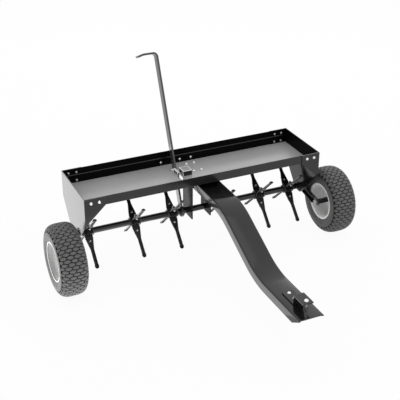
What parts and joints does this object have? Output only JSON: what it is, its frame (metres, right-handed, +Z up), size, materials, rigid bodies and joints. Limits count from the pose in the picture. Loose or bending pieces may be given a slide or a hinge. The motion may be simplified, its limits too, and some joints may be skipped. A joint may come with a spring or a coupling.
{
  "type": "tow behind aerator",
  "caption": "Tow behind lawn aerator: weight tray over an axle of free-turning coring star wheels, lever-rocked wheel arms with turf tyres, and a bent channel drawbar with a pin hitch.",
  "frame": {"origin": "centre of the outer box on the ground under the tyres", "axes": "X along the axle, drawbar towards -Y, +Z up"},
  "size_m": [1.266, 1.1366, 0.7649],
  "materials": {
    "black_powder": "semi-gloss black powder coat",
    "zinc": "bright zinc plating",
    "rim_enamel": "light grey enamel",
    "tyre": "matte rubber with turf tread",
    "bush": "moulded nylon"
  },
  "bodies": {
    "frame": {"tray_pan": "black_powder", "left_end_panel": "black_powder", "right_end_panel": "black_powder", "rear_brace": "black_powder", "drawbar": "black_powder", "hanger_left": "black_powder", "hanger_right": "black_powder", "hanger_bushes": "bush", "panel_bushes": "bush", "lever_guides": "black_powder", "hitch_bracket": "black_powder", "front_bolts": "zinc", "rear_bolts": "zinc", "brace_bolts": "zinc", "deck_bolts": "zinc", "hanger_bolts": "zinc", "hitch_bolts": "zinc"},
    "hitch_pin": {"hitch_pin": "zinc"},
    "rocker": {"axle_bar": "black_powder", "star_washers": "zinc", "lever": "black_powder", "lever_collars": "black_powder", "left_wheel_arm": "black_powder", "right_wheel_arm": "black_powder", "left_spindle": "zinc", "right_spindle": "zinc", "left_spacer": "black_powder", "right_spacer": "black_powder", "spindle_nuts": "zinc"},
    "left_wheel": {"left_tyre": "tyre", "left_rim": "rim_enamel", "left_bushes": "bush"},
    "right_wheel": {"right_tyre": "tyre", "right_rim": "rim_enamel", "right_bushes": "bush"},
    "star1": {"star1_hub": "black_powder", "star1_spoons": "black_powder", "star1_bolts": "zinc"},
    "star2": {"star2_hub": "black_powder", "star2_spoons": "black_powder", "star2_bolts": "zinc"},
    "star3": {"star3_hub": "black_powder", "star3_spoons": "black_powder", "star3_bolts": "zinc"},
    "star4": {"star4_hub": "black_powder", "star4_spoons": "black_powder", "star4_bolts": "zinc"},
    "star5": {"star5_hub": "black_powder", "star5_spoons": "black_powder", "star5_bolts": "zinc"},
    "star6": {"star6_hub": "black_powder", "star6_spoons": "black_powder", "star6_bolts": "zinc"}
  },
  "joints": [
    {"name": "axle_rock", "type": "hinge", "parent": "frame", "child": "rocker", "pos_m": [0, 0.31072, 0.162], "axis": [1, 0, 0], "range_deg": [0, 46]},
    {"name": "hitch_pin_lift", "type": "slide", "parent": "frame", "child": "hitch_pin", "axis": [0, 0, 1], "range_m": [0, 0.075]},
    {"name": "left_wheel_spin", "type": "hinge", "parent": "rocker", "child": "left_wheel", "pos_m": [-0.579, 0.18472, 0.14], "axis": [1, 0, 0], "continuous": true},
    {"name": "right_wheel_spin", "type": "hinge", "parent": "rocker", "child": "right_wheel", "pos_m": [0.579, 0.18472, 0.14], "axis": [1, 0, 0], "continuous": true},
    {"name": "star1_spin", "type": "hinge", "parent": "rocker", "child": "star1", "pos_m": [-0.4495, 0.31072, 0.162], "axis": [1, 0, 0], "continuous": true},
    {"name": "star2_spin", "type": "hinge", "parent": "rocker", "child": "star2", "pos_m": [-0.2535, 0.31072, 0.162], "axis": [1, 0, 0], "continuous": true},
    {"name": "star3_spin", "type": "hinge", "parent": "rocker", "child": "star3", "pos_m": [-0.0915, 0.31072, 0.162], "axis": [1, 0, 0], "continuous": true},
    {"name": "star4_spin", "type": "hinge", "parent": "rocker", "child": "star4", "pos_m": [0.133, 0.31072, 0.162], "axis": [1, 0, 0], "continuous": true},
    {"name": "star5_spin", "type": "hinge", "parent": "rocker", "child": "star5", "pos_m": [0.30554, 0.31072, 0.162], "axis": [1, 0, 0], "continuous": true},
    {"name": "star6_spin", "type": "hinge", "parent": "rocker", "child": "star6", "pos_m": [0.444, 0.31072, 0.162], "axis": [1, 0, 0], "continuous": true}
  ]
}
